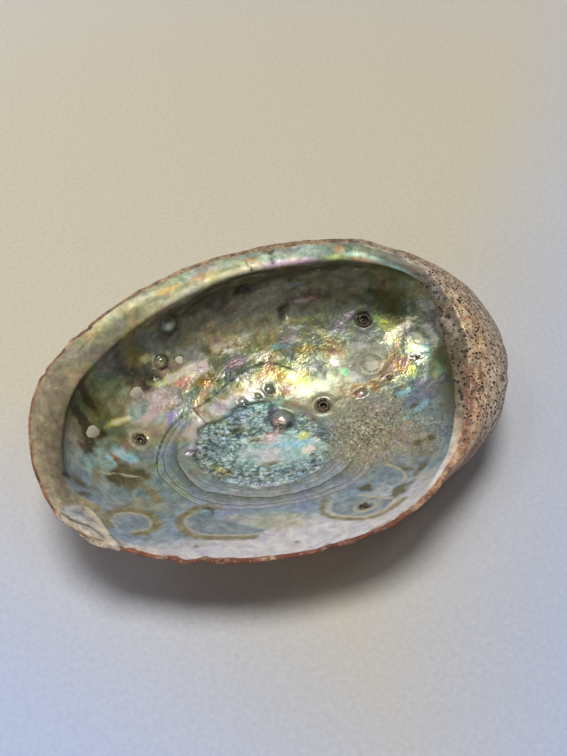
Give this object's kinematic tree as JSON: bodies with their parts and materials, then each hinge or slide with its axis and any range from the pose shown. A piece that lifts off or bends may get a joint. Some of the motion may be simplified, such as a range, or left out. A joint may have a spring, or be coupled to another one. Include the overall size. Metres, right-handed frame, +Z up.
{
  "type": "abalone shell",
  "caption": "Ear-shaped abalone shell lying on its back, with an open nacre-lined hollow, a flat ledge along one side, a row of pores and a low coiled spire.",
  "frame": {"origin": "on the resting surface, under the middle of the shell's outline", "axes": "+X along the shell towards its spire end, +Y towards the side with the flat ledge and the pores, +Z up out of the hollow"},
  "size_m": [0.1957, 0.1355, 0.0567],
  "materials": {
    "shell": "grown shell: glossy iridescent nacre inside, cream to tan ledge, matt red-brown and lilac-grey pitted back"
  },
  "bodies": {
    "root": {"shell": "shell"}
  },
  "joints": []
}
